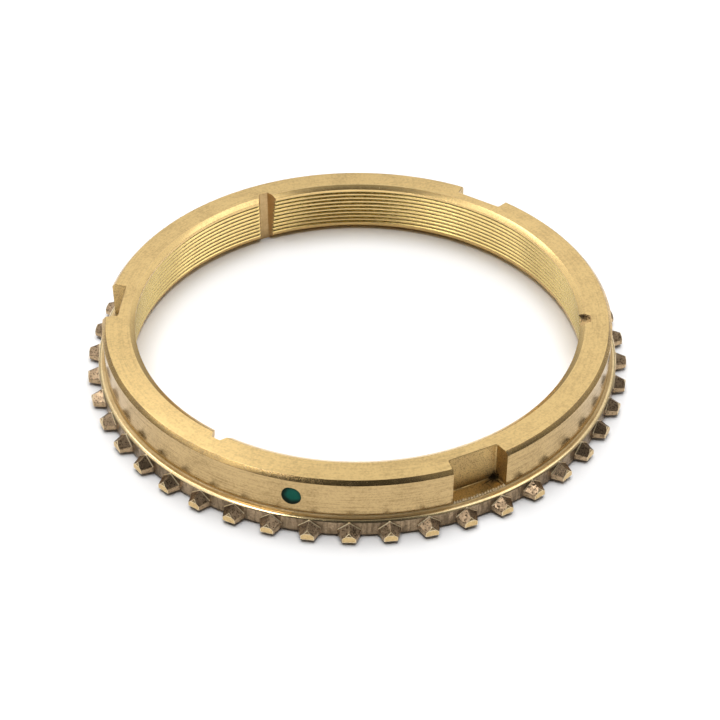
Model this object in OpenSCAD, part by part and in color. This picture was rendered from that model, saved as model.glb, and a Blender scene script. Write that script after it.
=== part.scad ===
// Synchronizer ring of a manual gearbox, turned and milled from one brass forging.
// The ring lies on its toothed flange with its axis along +Z. The origin is on the axis,
// at the flange's lower face. The cone bore is widest at that face.

/* [Cone bore] */
// Diameter of the cone at the flange's lower face
cone_d = 72.7; // [60:0.1:90]
// Angle between the cone's wall and the axis
cone_angle = 6.5; // [5.5:0.5:8]
// Chamfer at the cone's wide mouth
mouth_chamfer = 0.9; // [0.4:0.1:1.3]
// Width of the bevel at the cone's narrow end
lead_w = 0.85; // [0.3:0.05:1.2]
// Height of the bevel at the cone's narrow end
lead_h = 0.5; // [0.3:0.05:0.9]

/* [Ring] */
// Overall height of the ring
ring_h = 9.5; // [8:0.1:13]
// Thickness of the ring from the cone to the outer wall, at the flange's lower face
wall_t = 4.15; // [3.7:0.05:6]
// Chamfer on the wall's top outer edge
wall_chamfer = 0.6; // [0.2:0.05:0.9]
// Fillet where the wall meets the flange
wall_fillet = 0.45; // [0.1:0.05:0.6]

/* [Flange] */
// Reach of the flange past the wall, between the teeth
flange_w = 1.1; // [0.9:0.05:2.5]
// Thickness of the flange
flange_h = 3; // [2.4:0.1:4]
// Chamfer on the flange's upper edge
flange_chamfer = 0.3; // [0.1:0.05:0.4]

/* [Oil grooves] */
// Number of axial oil grooves in the bore
oil_groove_count = 3; // [3, 6]
// Depth of a groove past the cone's wide end
oil_groove_depth = 0.8; // [0.4:0.05:1.1]
// Width of a groove's floor
oil_groove_w = 1.5; // [1:0.1:2.4]
// Slope of a groove's sides from square
oil_groove_flare = 25; // [0:1:40]

/* [Strut slots] */
// Width of a strut slot at the outer wall
slot_mouth_w = 9; // [8.4:0.1:10.5]
// Width of a strut slot at its back
slot_back_w = 8; // [6:0.1:8.3]
// Depth of a strut slot from the outer wall
slot_depth = 2.65; // [1.5:0.05:2.7]
// Height of a strut slot's floor above the flange
slot_floor_rise = 0.2; // [0.05:0.05:1]
// Radius in the two back corners of a strut slot
slot_corner_r = 0.5; // [0.2:0.05:1]

/* [Blocking teeth] */
// Number of teeth, a multiple of the three slots
tooth_count = 45; // [36:3:51]
// Reach of a tooth past the flange
tooth_reach = 1.8; // [1.4:0.1:3]
// Width of a tooth where it leaves the flange
tooth_root_w = 3.4; // [2.4:0.1:3.8]
// Width of a tooth at its tip
tooth_tip_w = 2; // [1.2:0.1:2.3]
// Slope of each pointing face, across the tooth
tooth_point_angle = 37; // [28:1:42]
// Slope of a tooth's ridge, down towards its tip
tooth_ridge_angle = 23; // [10:1:28]
// Depth of the chamfer on the lower edge of a tooth's tip
tooth_heel_w = 0.35; // [0.1:0.05:0.6]
// Height of the chamfer on the lower edge of a tooth's tip
tooth_heel_h = 0.6; // [0.2:0.05:0.9]
// Depth of the chamfer where a tooth's ridge meets its tip
tooth_crest_w = 0.25; // [0.1:0.05:0.5]
// Height of the chamfer where a tooth's ridge meets its tip
tooth_crest_h = 0.5; // [0.2:0.05:0.7]

/* [Hidden] */
$fn = 180;
brass = [0.80, 0.66, 0.42];

slot_count = 3;
// Overlap that keeps cuts and joined solids clear of shared faces
bite = 0.5;
// Run of a tooth's blank past its turned tip
skim = 0.1;
fillet_steps = 5;

wall_r = cone_d / 2 + wall_t;
flange_r = wall_r + flange_w;
tip_r = flange_r + tooth_reach;
groove_floor_r = cone_d / 2 + oil_groove_depth;

// Radius of the cone's wall at a height
function cone_r(z) = cone_d / 2 - z * tan(cone_angle);

lead_z = ring_h - lead_h;
mouth_r = cone_r(mouth_chamfer) + mouth_chamfer;
top_inner_r = cone_r(lead_z) + lead_w;

// Slots are centred on tooth spaces, and oil grooves lie midway between slots
tooth_pitch = 360 / tooth_count;
slot_step = 360 / slot_count;
slot_first = (floor(slot_step / 2 / tooth_pitch) + 0.5) * tooth_pitch;
oil_groove_first = slot_first + slot_step / 2;
oil_groove_step = 360 / oil_groove_count;

// A tooth's ridge leaves the flange halfway up its chamfer
ridge_r = flange_r - flange_chamfer / 2;
ridge_z = flange_h - flange_chamfer / 2;

// Height of a tooth's ridge where the turned chamfer ends it, and of the tip face below that
crest_z = ridge_z - (tip_r - tooth_crest_w - ridge_r) * tan(tooth_ridge_angle);
tip_top_z = crest_z - tooth_crest_h;

slot_back = wall_r - slot_depth;
slot_floor = flange_h + slot_floor_rise;

// Points of the concave fillet from the flange's top up to the wall
function wall_fillet_points() = [
    for (i = [0 : fillet_steps])
        let (turn = 90 * i / fillet_steps)
        [wall_r + wall_fillet * (1 - sin(turn)), flange_h + wall_fillet * (1 - cos(turn))]
];

// Half section of the turned ring, as radius and height
function ring_section() = concat(
    [[mouth_r, 0], [flange_r, 0]],
    [[flange_r, flange_h - flange_chamfer], [flange_r - flange_chamfer, flange_h]],
    wall_fillet_points(),
    [[wall_r, ring_h - wall_chamfer], [wall_r - wall_chamfer, ring_h]],
    [[top_inner_r, ring_h], [cone_r(lead_z), lead_z], [cone_r(mouth_chamfer), mouth_chamfer]]
);

module turned_ring() {
    rotate_extrude() polygon(ring_section());
}

// Plan of one tooth: straight flanks that close in from flange to tip
module tooth_plan() {
    flank_slope = (tooth_root_w - tooth_tip_w) / 2 / (tip_r - flange_r);
    inner_x = flange_r - bite;
    outer_x = tip_r + skim;
    inner_y = tooth_root_w / 2 + bite * flank_slope;
    outer_y = tooth_tip_w / 2 - skim * flank_slope;
    polygon([[inner_x, -inner_y], [outer_x, -outer_y], [outer_x, outer_y], [inner_x, inner_y]]);
}

// Gable whose ridge starts on the flange's chamfer and falls towards the tip
module tooth_gable() {
    half_span = tooth_root_w;
    eave = half_span * tan(tooth_point_angle);
    depth = eave + 2 * flange_h;
    run = 2 * (tip_r - flange_r + bite);
    translate([ridge_r, 0, ridge_z])
        rotate([0, tooth_ridge_angle, 0])
            translate([-2 * bite, 0, 0])
                rotate([90, 0, 90])
                    linear_extrude(height = run + 2 * bite)
                        polygon([
                            [-half_span, -eave], [-half_span, -depth], [half_span, -depth],
                            [half_span, -eave], [0, 0]
                        ]);
}

// Turned band that gives every tooth its round tip and the chamfers below and above it
module tip_band() {
    inner_r = flange_r - bite;
    crest_r = tip_r - (flange_h - tip_top_z) * tooth_crest_w / tooth_crest_h;
    rotate_extrude()
        polygon([
            [inner_r, 0], [tip_r - tooth_heel_w, 0], [tip_r, tooth_heel_h],
            [tip_r, tip_top_z], [crest_r, flange_h], [inner_r, flange_h]
        ]);
}

module blocking_teeth() {
    intersection() {
        tip_band();
        for (i = [0 : tooth_count - 1])
            rotate([0, 0, i * tooth_pitch])
                intersection() {
                    linear_extrude(height = flange_h) tooth_plan();
                    tooth_gable();
                }
    }
}

// Milling cut for one strut slot, with its mouth towards +X
module strut_slot_cut() {
    mouth_y = slot_mouth_w / 2;
    back_y = slot_back_w / 2;
    taper = atan((mouth_y - back_y) / slot_depth);
    outer_x = wall_r + bite;
    outer_y = mouth_y + bite * tan(taper);
    corner_x = slot_back + slot_corner_r;
    corner_y = back_y - slot_corner_r * (1 - sin(taper)) / cos(taper);
    side_x = corner_x - slot_corner_r * sin(taper);
    side_y = corner_y + slot_corner_r * cos(taper);
    cut_h = ring_h - slot_floor + bite;
    translate([0, 0, slot_floor]) {
        linear_extrude(height = cut_h)
            polygon([
                [outer_x, -outer_y], [outer_x, outer_y], [side_x, side_y],
                [slot_back, corner_y], [slot_back, -corner_y], [side_x, -side_y]
            ]);
        for (side = [-1, 1])
            translate([corner_x, side * corner_y, 0])
                cylinder(h = cut_h, r = slot_corner_r, $fn = 48);
    }
}

// Broached cut for one oil groove, with its floor towards +X
module oil_groove_cut() {
    inner_x = cone_r(ring_h) - bite;
    floor_y = oil_groove_w / 2;
    inner_y = floor_y + (groove_floor_r - inner_x) * tan(oil_groove_flare);
    translate([0, 0, -bite])
        linear_extrude(height = ring_h + 2 * bite)
            polygon([
                [inner_x, -inner_y], [groove_floor_r, -floor_y],
                [groove_floor_r, floor_y], [inner_x, inner_y]
            ]);
}

module synchronizer_ring() {
    color(brass)
        difference() {
            union() {
                turned_ring();
                blocking_teeth();
            }
            for (i = [0 : slot_count - 1])
                rotate([0, 0, slot_first + i * slot_step]) strut_slot_cut();
            for (i = [0 : oil_groove_count - 1])
                rotate([0, 0, oil_groove_first + i * oil_groove_step]) oil_groove_cut();
        }
}

synchronizer_ring();
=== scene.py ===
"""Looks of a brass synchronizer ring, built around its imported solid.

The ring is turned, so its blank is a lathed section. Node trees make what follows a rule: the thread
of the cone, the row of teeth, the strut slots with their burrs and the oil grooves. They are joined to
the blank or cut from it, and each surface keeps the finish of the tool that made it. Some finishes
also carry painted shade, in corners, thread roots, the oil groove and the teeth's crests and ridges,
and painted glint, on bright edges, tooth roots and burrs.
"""

import logging
import math
from dataclasses import dataclass
from enum import Enum
from typing import Any

import bmesh
import bpy
import numpy as np
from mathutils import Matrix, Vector


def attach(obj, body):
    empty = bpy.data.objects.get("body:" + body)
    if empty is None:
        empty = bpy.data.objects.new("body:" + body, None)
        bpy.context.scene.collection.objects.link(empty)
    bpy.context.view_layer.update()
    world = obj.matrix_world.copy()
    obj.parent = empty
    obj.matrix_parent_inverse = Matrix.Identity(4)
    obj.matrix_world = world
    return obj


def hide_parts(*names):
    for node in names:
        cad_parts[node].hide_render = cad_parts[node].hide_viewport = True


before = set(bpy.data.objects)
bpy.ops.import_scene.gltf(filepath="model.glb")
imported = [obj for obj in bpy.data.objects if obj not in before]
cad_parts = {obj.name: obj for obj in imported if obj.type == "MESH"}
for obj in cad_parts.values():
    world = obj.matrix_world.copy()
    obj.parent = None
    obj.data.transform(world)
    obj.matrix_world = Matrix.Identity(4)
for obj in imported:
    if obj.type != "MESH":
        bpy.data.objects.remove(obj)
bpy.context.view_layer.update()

LOG = logging.getLogger("synchronizer_ring")
NODE = "synchronizer_ring"
BODY = "root"

MM = 0.001
PHOTO_SIDE_PX = 720
# The part's frame is turned this far from the camera's, in degrees
VIEW_TURN = 3.8

# Name of the face attribute that keeps each face's zone
ZONE = "zone"

Point = tuple[float, float]
Colour = tuple[float, float, float]
Mesh = bpy.types.Mesh
Object = bpy.types.Object
Material = bpy.types.Material
Socket = bpy.types.NodeSocket


class Lay(Enum):
    """Direction of the tool marks on a surface."""

    AROUND_WALL = "around a wall"
    AROUND_FACE = "around a flat face"
    ALONG_AXIS = "along the axis"
    NONE = "no marks"


class Zone(Enum):
    """Surfaces of the ring, by the tool that made them, with darker crest and ridge finishes as painted
    shade and a paler finish for edges, roots and burrs as painted glint. The value is the material's place.
    """

    TOP = 0
    EDGE = 1
    WALL = 2
    LEDGE = 3
    FLANGE = 4
    UNDERSIDE = 5
    BORE = 6
    THREAD = 7
    SLOT = 8
    GROOVE = 9
    TOOTH = 10
    TIP = 11
    # Upper facet of a tooth's tip, darkened: painted shade
    CREST = 12
    # Bright edges, tooth roots and burrs: painted glint, with some wear on the edges
    WORN = 13
    RIM = 14
    FLANK = 15
    # Rounded ridge edge of a tooth, darkened: painted shade
    RIDGE = 16


class Join(Enum):
    """How a shape is put together with the ring."""

    ADD = "UNION"
    CUT = "DIFFERENCE"


class Lights(Enum):
    """What a soft box lights."""

    METAL = "the metal's reflections"
    FLOOR = "the floor"


Finishes = dict[Zone, Material]

# Finishes of the teeth, with the one of most faces first
FORGED = (Zone.TOOTH, Zone.FLANK, Zone.RIDGE, Zone.TIP, Zone.CREST, Zone.WORN)


def polar(radius: float, degrees: float, height: float = 0.0) -> Vector:
    """Point at a radius, an angle about the axis and a height, in the units it is given."""
    angle = math.radians(degrees)
    return Vector((radius * math.cos(angle), radius * math.sin(angle), height))


def link_object(name: str, data: bpy.types.ID) -> Object:
    """Put an object into the scene, at the origin.

    Args:
        name: the object's name.
        data: its mesh, camera or light.

    Returns:
        The object.
    """
    made = bpy.data.objects.new(name, data)
    bpy.context.scene.collection.objects.link(made)
    return made


def drop_object(made: Object) -> None:
    """Remove a helper object and its mesh.

    Args:
        made: the object.
    """
    mesh = made.data
    bpy.data.objects.remove(made)
    bpy.data.meshes.remove(mesh)


def colour4(colour: Any) -> Any:
    """Colour with an alpha of 1, or the socket that was given."""
    return (*colour, 1.0) if isinstance(colour, tuple) else colour


def rounded(corners: list[Point], radii: list[float], steps: int) -> list[list[Point]]:
    """Round each corner of a closed outline.

    Args:
        corners: the outline's sharp corners in order.
        radii: the radius at each corner; a zero keeps it sharp.
        steps: chords in each arc.

    Returns:
        The points of each corner's arc, as one list for each corner.
    """
    arcs: list[list[Point]] = []
    count = len(corners)
    for i, (corner, radius) in enumerate(zip(corners, radii)):
        here = Vector(corner)
        back = (Vector(corners[i - 1]) - here).normalized()
        ahead = (Vector(corners[(i + 1) % count]) - here).normalized()
        if radius <= 0:
            arcs.append([corner])
            continue
        half = back.angle(ahead) / 2
        start = here + back * (radius / math.tan(half))
        end = here + ahead * (radius / math.tan(half))
        centre = here + (back + ahead).normalized() * (radius / math.sin(half))
        arc = []
        for step in range(steps + 1):
            chord = start.lerp(end, step / steps) - centre
            point = centre + chord.normalized() * radius
            arc.append((point.x, point.y))
        arcs.append(arc)
    return arcs


def offset(outline: list[Point], distance: float) -> list[Point]:
    """Outline moved outwards along its corners' bisectors.

    Args:
        outline: the points in counter-clockwise order.
        distance: how far each side moves; less than zero moves inwards.

    Returns:
        The moved points.
    """
    moved = []
    count = len(outline)
    for i, (x, y) in enumerate(outline):
        before = (Vector((x, y)) - Vector(outline[i - 1])).normalized()
        after = (Vector(outline[(i + 1) % count]) - Vector((x, y))).normalized()
        n1 = Vector((before.y, -before.x))
        n2 = Vector((after.y, -after.x))
        shift = (n1 + n2) / (1.0 + n1.dot(n2))
        moved.append((x + shift.x * distance, y + shift.y * distance))
    return moved


def loft(rings: list[list[Vector]], zone: Zone) -> Mesh:
    """Closed mesh through rings of points that match one to one, with both ends capped.

    Args:
        rings: the rings from the first end to the last, in millimetres.
        zone: the finish of every face.

    Returns:
        A mesh in metres with its faces outwards.
    """
    shape = bmesh.new()
    rows = [[shape.verts.new(point * MM) for point in ring] for ring in rings]
    count = len(rings[0])
    for low, high in zip(rows, rows[1:]):
        for i in range(count):
            j = (i + 1) % count
            shape.faces.new((low[i], low[j], high[j], high[i]))
    shape.faces.new(rows[0][::-1])
    shape.faces.new(rows[-1])
    return close_mesh(shape, "loft", zone)


def close_mesh(shape: bmesh.types.BMesh, name: str, zone: Zone | None = None) -> Mesh:
    """Turn a closed shape's faces outwards and make it a mesh.

    Args:
        shape: the shape, which is freed.
        name: the mesh's name.
        zone: the finish of every face, or None where the faces have theirs.

    Returns:
        The mesh.
    """
    bmesh.ops.recalc_face_normals(shape, faces=shape.faces)
    if zone is not None:
        for face in shape.faces:
            face.material_index = zone.value
    layer = shape.faces.layers.int.get(ZONE) or shape.faces.layers.int.new(ZONE)
    for face in shape.faces:
        face[layer] = face.material_index
    mesh = bpy.data.meshes.new(name)
    shape.to_mesh(mesh)
    shape.free()
    return mesh


def slice_off(shape: bmesh.types.BMesh, point: Any, normal: Any) -> list[bmesh.types.BMEdge]:
    """Cut away what lies beyond a plane and leave the cut open.

    Args:
        shape: the shape, which is changed.
        point: a point of the plane.
        normal: the plane's unit normal, towards what is cut away.

    Returns:
        The edges round the cut.
    """
    everything = shape.verts[:] + shape.edges[:] + shape.faces[:]
    cut = bmesh.ops.bisect_plane(shape, geom=everything, plane_co=point, plane_no=normal, clear_outer=True)
    return [edge for edge in cut["geom_cut"] if isinstance(edge, bmesh.types.BMEdge)]


@dataclass(frozen=True)
class Noise:
    """A noise: its cycles to the unit of what it reads, and its detail."""

    scale: float
    detail: float


@dataclass(frozen=True)
class Rise:
    """A smooth rise from 0 at one value to 1 at another."""

    low: float
    high: float

    def times(self, size: float) -> "Rise":
        """The same rise with both values times a size."""
        return Rise(self.low * size, self.high * size)


class NodeTree:
    """A node tree that is built node by node."""

    def __init__(self, tree: bpy.types.NodeTree) -> None:
        """Build in a tree that is there."""
        self.tree = tree

    def add(self, kind: str, links: dict[Any, Any], **settings: Any) -> bpy.types.Node:
        """Add a node.

        Args:
            kind: the node's type.
            links: what goes into each named or numbered input, a socket or a value.
            settings: the node's own settings.

        Returns:
            The node.
        """
        node = self.tree.nodes.new(kind)
        for setting, value in settings.items():
            setattr(node, setting, value)
        for key, value in links.items():
            socket = node.inputs[key]
            if isinstance(value, Socket):
                self.tree.links.new(value, socket)
            else:
                socket.default_value = value
        return node

    def output(self, kind: str, links: dict[Any, Any], **settings: Any) -> Socket:
        """First output of a node that is added."""
        return self.add(kind, links, **settings).outputs[0]

    def calc(self, operation: str, *terms: Any) -> Socket:
        """Result of an arithmetic operation on up to three terms."""
        return self.output("ShaderNodeMath", dict(enumerate(terms)), operation=operation)

    def measure(self, operation: str, *terms: Any) -> Socket:
        """Number that an operation on vectors gives."""
        links = dict(enumerate(terms))
        return self.add("ShaderNodeVectorMath", links, operation=operation).outputs[1]


class GeometryTree(NodeTree):
    """A geometry node tree with named inputs, which is turned into a plain mesh."""

    def __init__(self, name: str) -> None:
        """Start an empty tree.

        Args:
            name: the tree's name, which its mesh takes.
        """
        super().__init__(bpy.data.node_groups.new(name, "GeometryNodeTree"))
        self.name = name
        self.tree.interface.new_socket(name="Geometry", in_out="OUTPUT", socket_type="NodeSocketGeometry")
        self.entry = self.tree.nodes.new("NodeGroupInput")
        self.exit = self.tree.nodes.new("NodeGroupOutput")
        self.given: dict[str, Any] = {}

    def size(self, name: str, kind: str, value: Any) -> Socket:
        """Add a named input.

        Args:
            name: the input's name.
            kind: Float, Int, Object or Material.
            value: what the modifier sets it to.

        Returns:
            The socket that gives the value inside the tree.
        """
        item = self.tree.interface.new_socket(name=name, in_out="INPUT", socket_type=f"NodeSocket{kind}")
        self.given[item.identifier] = value
        return self.entry.outputs[name]

    def shape_of(self, name: str, made: Object) -> Socket:
        """Geometry of a helper object, which is a named input."""
        links = {"Object": self.size(name, "Object", made)}
        return self.add("GeometryNodeObjectInfo", links).outputs["Geometry"]

    def vector(self, x: Any, y: Any, z: Any) -> Socket:
        """Vector of three numbers or sockets."""
        return self.output("ShaderNodeCombineXYZ", {"X": x, "Y": y, "Z": z})

    def position(self) -> tuple[Socket, ...]:
        """The three coordinates of each point."""
        where = self.output("GeometryNodeInputPosition", {})
        return tuple(self.add("ShaderNodeSeparateXYZ", {0: where}).outputs)

    def random(self, low: Any, high: Any, seed: Any) -> Socket:
        """Seeded random number for each point."""
        links = {2: low, 3: high, "Seed": seed}
        return self.add("FunctionNodeRandomValue", links, data_type="FLOAT").outputs[1]

    def around_axis(
        self, shape: Any, count: Any, first: Any, radius: Any = 0.0,
        sway: tuple[Any, Any, Any] = (0.0, 0.0, 0.0), scale: tuple[Any, Any, Any] = (1.0, 1.0, 1.0),
    ) -> Socket:
        """Copies of a shape turned evenly about the axis.

        Args:
            shape: the geometry to repeat.
            count: how many copies.
            first: angle of the first copy, in radians.
            radius: distance of each copy's own origin from the axis, in metres.
            sway: each copy's own turn about X, Y and Z, in radians.
            scale: each copy's own scale along X, Y and Z.

        Returns:
            The copies, as instances.
        """
        circle = self.output("GeometryNodeMeshCircle", {"Vertices": count, "Radius": radius})
        index = self.output("GeometryNodeInputIndex", {})
        even = self.calc("MULTIPLY", index, self.calc("DIVIDE", math.tau, count))
        turn = self.vector(sway[0], sway[1], self.calc("ADD", even, sway[2]))
        links = {"Points": circle, "Instance": shape, "Rotation": turn, "Scale": self.vector(*scale)}
        copies = self.output("GeometryNodeInstanceOnPoints", links)
        links = {"Geometry": copies, "Rotation": self.vector(0.0, 0.0, first)}
        return self.output("GeometryNodeTransform", links)

    def bake(self, shape: Any, materials: Finishes, zones: tuple[Zone, ...]) -> Mesh:
        """End the tree, run it and keep its result as a plain mesh.

        Args:
            shape: the geometry that leaves the tree.
            materials: the finishes of the ring.
            zones: the zones to dress; the first goes on every face, the others where the faces'
                own zone is theirs.

        Returns:
            The mesh.
        """
        solid = self.output("GeometryNodeRealizeInstances", {"Geometry": shape})
        mark = self.output("GeometryNodeInputNamedAttribute", {"Name": ZONE}, data_type="INT")
        for zone in zones:
            finish = self.size(f"{zone.name.title()} finish", "Material", materials[zone])
            links = {"Geometry": solid, "Material": finish}
            if zone is not zones[0]:
                own = {"A": mark, "B": float(zone.value)}
                same = self.output("FunctionNodeCompare", own, data_type="FLOAT", operation="EQUAL")
                links["Selection"] = same
            solid = self.output("GeometryNodeSetMaterial", links)
        self.tree.links.new(solid, self.exit.inputs[0])
        holder = link_object(self.name, bpy.data.meshes.new(self.name))
        modifier = holder.modifiers.new(self.name, "NODES")
        modifier.node_group = self.tree
        for identifier, value in self.given.items():
            modifier[identifier] = value
        graph = bpy.context.evaluated_depsgraph_get()
        mesh = bpy.data.meshes.new_from_object(holder.evaluated_get(graph), depsgraph=graph)
        holder.modifiers.remove(modifier)
        drop_object(holder)
        return mesh


def repeat_cut(
    name: str, cut: Mesh, count: int, first: float, zone: Zone, materials: Finishes
) -> Mesh:
    """Repeat a cut evenly round the ring.

    Args:
        name: the node tree's name.
        cut: the mesh of one cut, which lies along +X.
        count: how many cuts.
        first: angle of the first cut, in degrees.
        zone: the finish that the cuts leave.
        materials: the finishes of the ring.

    Returns:
        All the cuts as one mesh.
    """
    cutter = link_object(f"{name}_cut", cut)
    tree = GeometryTree(name)
    shape = tree.shape_of("Cut", cutter)
    number = tree.size("Count", "Int", count)
    start = tree.size("First", "Float", math.radians(first))
    mesh = tree.bake(tree.around_axis(shape, number, start), materials, (zone,))
    drop_object(cutter)
    return mesh


class ShaderTree(NodeTree):
    """Node tree of a material or of the sky, with short calls for the nodes that they use."""

    # Rays that look for closed corners and open edges
    looks: int = 6

    def __init__(self, holder: Material | bpy.types.World) -> None:
        """Empty the tree of a material or a sky.

        Args:
            holder: what the tree belongs to.
        """
        holder.use_nodes = True
        super().__init__(holder.node_tree)
        self.tree.nodes.clear()

    def place(self) -> Socket:
        """The piece's own coordinates, in millimetres."""
        source = self.add("ShaderNodeTexCoord", {}).outputs["Object"]
        return self.vector("SCALE", source, Scale=1.0 / MM)

    def clamped(self, operation: str, *terms: Any) -> Socket:
        """Result of an arithmetic operation, clamped to 0 and 1."""
        links = dict(enumerate(terms))
        return self.output("ShaderNodeMath", links, operation=operation, use_clamp=True)

    def vector(self, operation: str, *terms: Any, **links: Any) -> Socket:
        """Vector that an operation on vectors gives."""
        inputs: dict[Any, Any] = {**dict(enumerate(terms)), **links}
        return self.output("ShaderNodeVectorMath", inputs, operation=operation)

    def band(self, value: Any, rise: Rise) -> Socket:
        """Value turned into a share by a smooth rise."""
        links = {"Value": value, "From Min": rise.low, "From Max": rise.high}
        return self.output("ShaderNodeMapRange", links, interpolation_type="SMOOTHSTEP")

    def noise(self, vector: Any, noise: Noise) -> Socket:
        """Noise between 0 and 1, read at a vector."""
        links = {"Vector": vector, "Scale": noise.scale, "Detail": noise.detail}
        return self.output("ShaderNodeTexNoise", links)

    def blend(self, share: Any, under: Any, over: Any) -> Socket:
        """Colour between two colours."""
        links = {0: share, 6: colour4(under), 7: colour4(over)}
        return self.add("ShaderNodeMix", links, data_type="RGBA").outputs[2]

    def closed(self, reach: float, inside: bool) -> Socket:
        """Share of the directions that the piece's own surface closes.

        Args:
            reach: how far it looks, in millimetres.
            inside: whether it looks into the metal, which finds edges, or out, which finds corners.

        Returns:
            The share.
        """
        settings = {"samples": self.looks, "inside": inside, "only_local": True}
        look = self.add("ShaderNodeAmbientOcclusion", {"Distance": reach * MM}, **settings)
        return self.clamped("SUBTRACT", 1.0, look.outputs["AO"])

    def bump(self, height: Any, unit: float) -> Socket:
        """Normal bent by a height, whose unit is given in millimetres."""
        links = {"Strength": 1.0, "Distance": unit * MM, "Height": height}
        return self.output("ShaderNodeBump", links)

    def end(self, links: dict[str, Any]) -> None:
        """End a material in a shader with those inputs."""
        shader = self.output("ShaderNodeBsdfPrincipled", links)
        self.add("ShaderNodeOutputMaterial", {"Surface": shader})


BRIGHT_BRASS: Colour = (0.92, 0.70, 0.34)
CLEAN_BRASS: Colour = (0.84, 0.60, 0.26)
DULL_BRASS: Colour = (0.52, 0.36, 0.16)
BROWN_BRASS: Colour = (0.34, 0.235, 0.13)
GRIME_AND_SHADE: Colour = (0.045, 0.03, 0.015)

# Patterns over the metal, in cycles to the millimetre, and the depth of the finest in millimetres
BLOTCHES = Noise(0.22, 4.0)
FLECKS = Noise(1.6, 3.0)
CLOUDS = Noise(3.0, 2.0)
GRAIN = Noise(9.0, 2.0)
GRAIN_DEPTH = 0.0003

# Tarnish: blotches broken by flecks, streaks along the tool marks and clouds
FLECK_IN_BLOTCH = 0.35
TARNISH_RISE = Rise(0.45, 0.95)
TARNISH_GAIN = 1.6
STREAK_RISE = Rise(0.42, 0.68)
CLOUD_RISE = Rise(0.35, 0.7)

# Tool marks: half a cycle of noise to the pitch, drawn out along the lay
CYCLES_PER_PITCH = 0.5
PLAIN_DETAIL = 2.0
AXIAL_CYCLES = 0.35
AXIAL_MARKS = Noise(1.0, 3.0)
AROUND_CYCLES = 7.0
AROUND_MARKS = Noise(1.0, 4.0)

# Pits: cells broken up by a wider noise
PIT_NOISE = Noise(0.6, 2.0)
PIT_BREAK = 0.9
PIT_RISE = Rise(0.05, -0.25)

# Painted shade with some grime in corners, where the piece's own surface closes in the surroundings
CORNER_GAIN = 1.6
FLECK_IN_CORNER = 0.5
CORNER_RISE = Rise(0.62, 1.15)

# Dark patches, painted shade in an oil groove and a darker patch in a slot: rays of uneven length with a
# ragged edge, as shares of the patch's size
PATCH_RAYS = Noise(3.5, 2.0)
RAY_MOST = 2.2
RAY_SPREAD = 2.4
FLECK_IN_PATCH = 0.8
PATCH_RISE = Rise(1.4, 0.55)

# Bare metal along edges, looked for this far into the metal in millimetres
WEAR_REACH = 0.12
EDGE_GAIN = 1.2
GRAIN_IN_WEAR = 0.3
WEAR_RISE = Rise(0.45, 0.9)

# What the flecks, the tarnish and the grime and painted shade add to the roughness
FLECK_ROUGH = 0.16
TARNISH_ROUGH = 0.12
GRIME_AND_SHADE_ROUGH = 0.3

# Turn of the stretched highlight, in whole turns, that lays it across the tool marks
LAY_TURN = 0.25


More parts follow.
